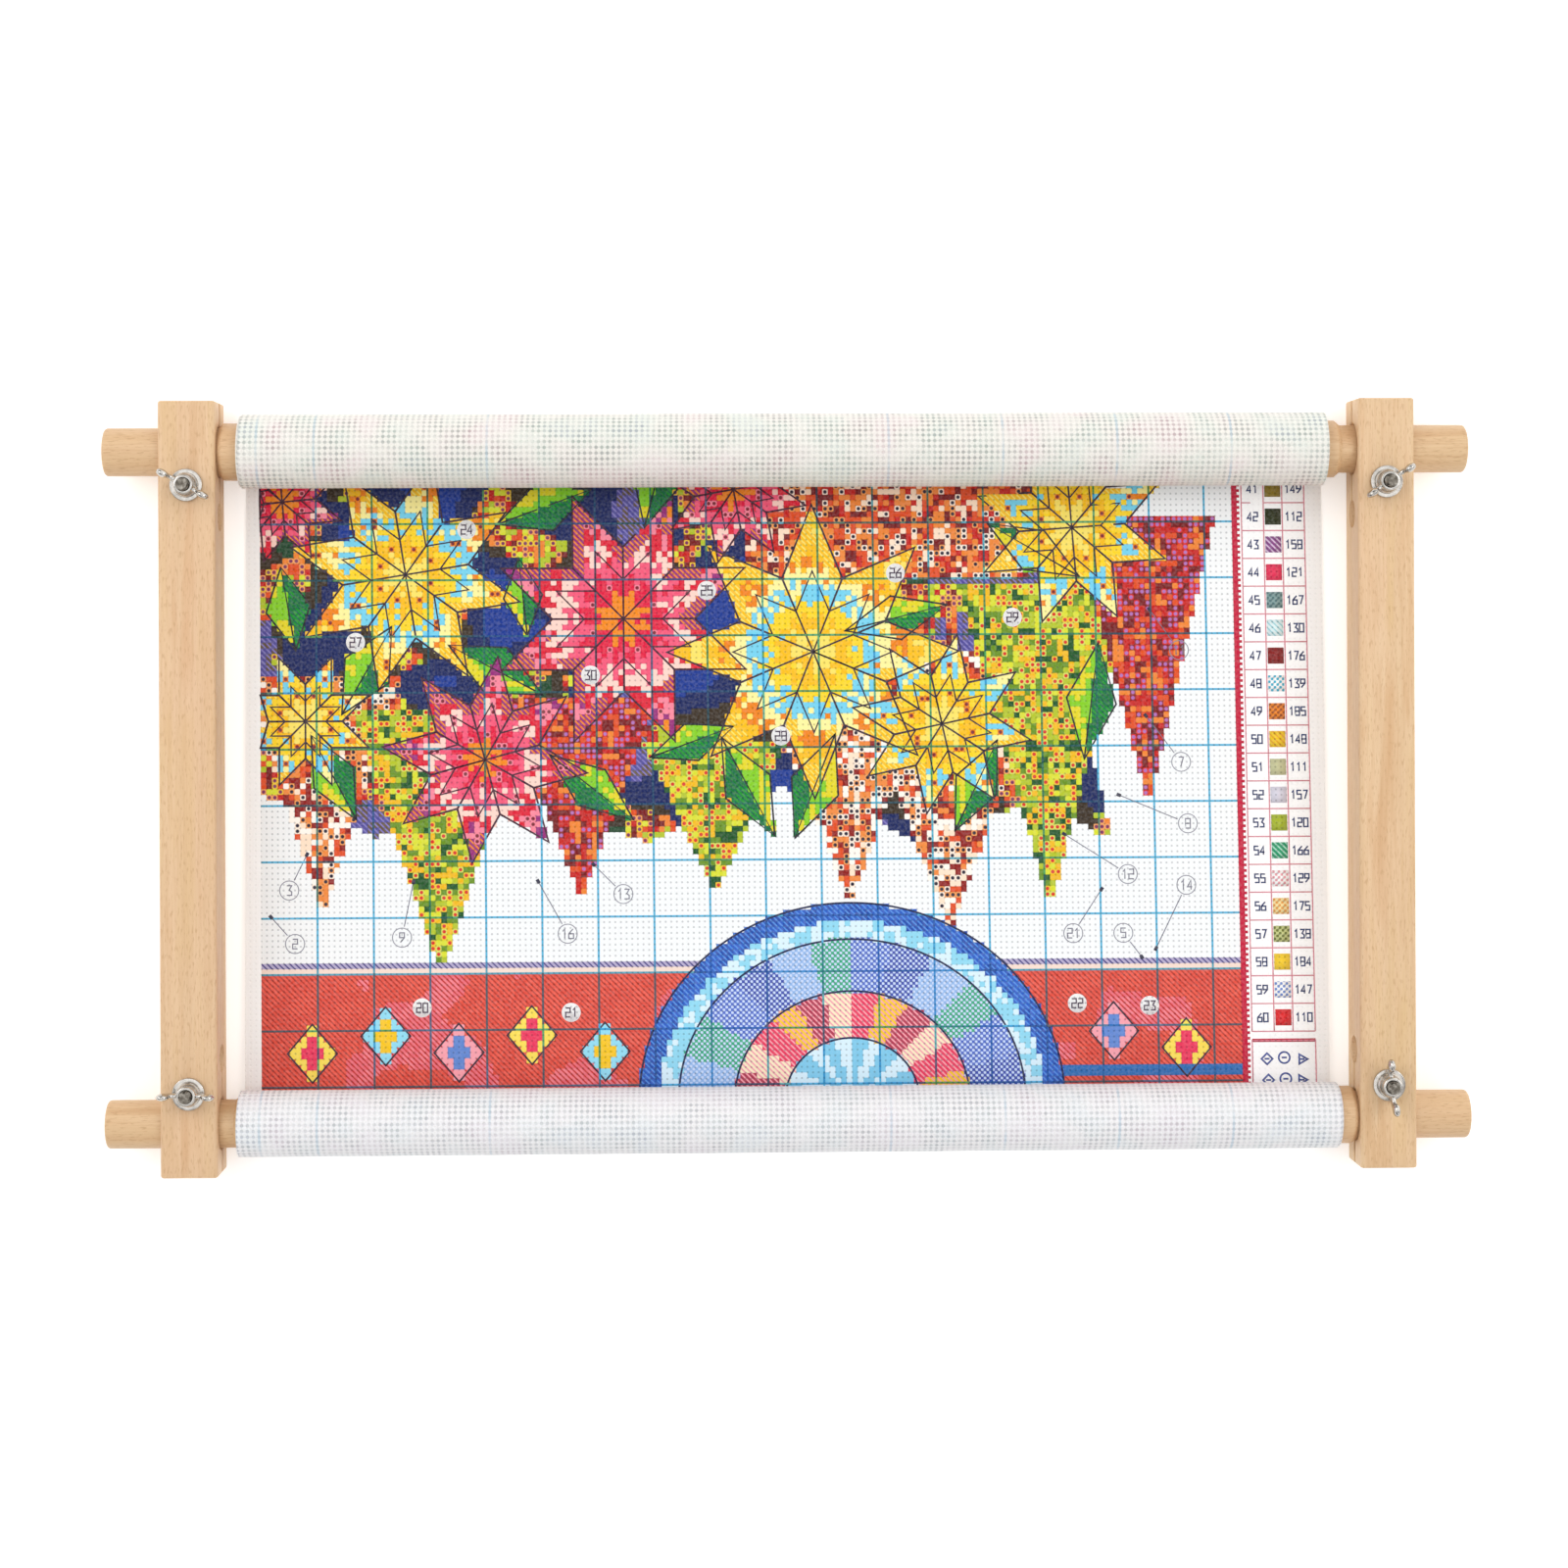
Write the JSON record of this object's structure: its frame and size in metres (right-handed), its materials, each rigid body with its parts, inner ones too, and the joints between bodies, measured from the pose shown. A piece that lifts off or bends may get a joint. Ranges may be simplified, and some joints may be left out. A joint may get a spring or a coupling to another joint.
{
  "type": "embroidery scroll frame",
  "caption": "Wooden scroll frame that stretches counted-thread cloth between two rollers, which turn in split side rails and are clamped there by wing nuts.",
  "frame": {"origin": "middle of the frame's outline, on the plane of the four bolt heads' crowns on its back", "axes": "+X along the rollers, +Y along the side rails towards the top roller, +Z from the back to the front with the wing nuts"},
  "size_m": [0.5318, 0.3, 0.0394],
  "materials": {
    "rail_beech": "sanded, clear satin",
    "roller_beech": "turned and sanded, clear satin",
    "aida_cloth": "woven cotton, matt",
    "cotton_webbing": "woven cotton tape, matt",
    "steel_tack": "blued",
    "zinc_plated_steel": "bright zinc plate"
  },
  "bodies": {
    "left_rail": {"left_side_rail": "rail_beech", "top_left_carriage_bolt": "zinc_plated_steel", "bottom_left_carriage_bolt": "zinc_plated_steel", "cloth_sheet": "aida_cloth"},
    "right_rail": {"right_side_rail": "rail_beech", "top_right_carriage_bolt": "zinc_plated_steel", "bottom_right_carriage_bolt": "zinc_plated_steel"},
    "top_roller": {"top_roller": "roller_beech", "top_header_tape": "cotton_webbing", "top_tape_tack_1": "steel_tack", "top_tape_tack_2": "steel_tack", "top_tape_tack_3": "steel_tack", "top_tape_tack_4": "steel_tack", "top_tape_tack_5": "steel_tack", "top_cloth_roll": "aida_cloth"},
    "bottom_roller": {"bottom_roller": "roller_beech", "bottom_header_tape": "cotton_webbing", "bottom_tape_tack_1": "steel_tack", "bottom_tape_tack_2": "steel_tack", "bottom_tape_tack_3": "steel_tack", "bottom_tape_tack_4": "steel_tack", "bottom_tape_tack_5": "steel_tack", "bottom_cloth_roll": "aida_cloth"},
    "top_left_washer": {"top_left_washer": "zinc_plated_steel"},
    "top_left_wing_nut": {"top_left_wing_nut": "zinc_plated_steel"},
    "top_right_washer": {"top_right_washer": "zinc_plated_steel"},
    "top_right_wing_nut": {"top_right_wing_nut": "zinc_plated_steel"},
    "bottom_left_washer": {"bottom_left_washer": "zinc_plated_steel"},
    "bottom_left_wing_nut": {"bottom_left_wing_nut": "zinc_plated_steel"},
    "bottom_right_washer": {"bottom_right_washer": "zinc_plated_steel"},
    "bottom_right_wing_nut": {"bottom_right_wing_nut": "zinc_plated_steel"}
  },
  "joints": [
    {"name": "right_rail_pull", "type": "slide", "parent": "left_rail", "child": "right_rail", "axis": [1, 0, 0], "range_m": [0, 0.022]},
    {"name": "top_roller_turn", "type": "hinge", "parent": "left_rail", "child": "top_roller", "pos_m": [0, 0.13075, 0.0156], "axis": [1, 0, 0], "range_deg": [-1000, 390]},
    {"name": "bottom_roller_turn", "type": "hinge", "parent": "left_rail", "child": "bottom_roller", "pos_m": [0, -0.13075, 0.0156], "axis": [1, 0, 0], "range_deg": [-1118, 436]},
    {"name": "top_left_washer_lift", "type": "slide", "parent": "left_rail", "child": "top_left_washer", "axis": [0, 0, 1], "range_m": [0, 0.0025]},
    {"name": "top_left_wing_nut_turn", "type": "hinge", "parent": "top_left_washer", "child": "top_left_wing_nut", "pos_m": [-0.2326, 0.1174, 0.0292], "axis": [0, 0, 1], "range_deg": [0, 1080]},
    {"name": "top_right_washer_lift", "type": "slide", "parent": "right_rail", "child": "top_right_washer", "axis": [0, 0, 1], "range_m": [0, 0.0025]},
    {"name": "top_right_wing_nut_turn", "type": "hinge", "parent": "top_right_washer", "child": "top_right_wing_nut", "pos_m": [0.2326, 0.1174, 0.0292], "axis": [0, 0, 1], "range_deg": [0, 1080]},
    {"name": "bottom_left_washer_lift", "type": "slide", "parent": "left_rail", "child": "bottom_left_washer", "axis": [0, 0, 1], "range_m": [0, 0.0025]},
    {"name": "bottom_left_wing_nut_turn", "type": "hinge", "parent": "bottom_left_washer", "child": "bottom_left_wing_nut", "pos_m": [-0.2326, -0.1174, 0.0292], "axis": [0, 0, 1], "range_deg": [0, 1080]},
    {"name": "bottom_right_washer_lift", "type": "slide", "parent": "right_rail", "child": "bottom_right_washer", "axis": [0, 0, 1], "range_m": [0, 0.0025]},
    {"name": "bottom_right_wing_nut_turn", "type": "hinge", "parent": "bottom_right_washer", "child": "bottom_right_wing_nut", "pos_m": [0.2326, -0.1174, 0.0292], "axis": [0, 0, 1], "range_deg": [0, 1080]}
  ],
  "couplings": [
    {"joint": "bottom_roller_turn", "follows": "top_roller_turn", "ratio": 1.1177},
    {"joint": "top_left_washer_lift", "follows": "top_left_wing_nut_turn", "m_per_rad": 0.00012732},
    {"joint": "top_right_washer_lift", "follows": "top_right_wing_nut_turn", "m_per_rad": 0.00012732},
    {"joint": "bottom_left_washer_lift", "follows": "bottom_left_wing_nut_turn", "m_per_rad": 0.00012732},
    {"joint": "bottom_right_washer_lift", "follows": "bottom_right_wing_nut_turn", "m_per_rad": 0.00012732}
  ]
}
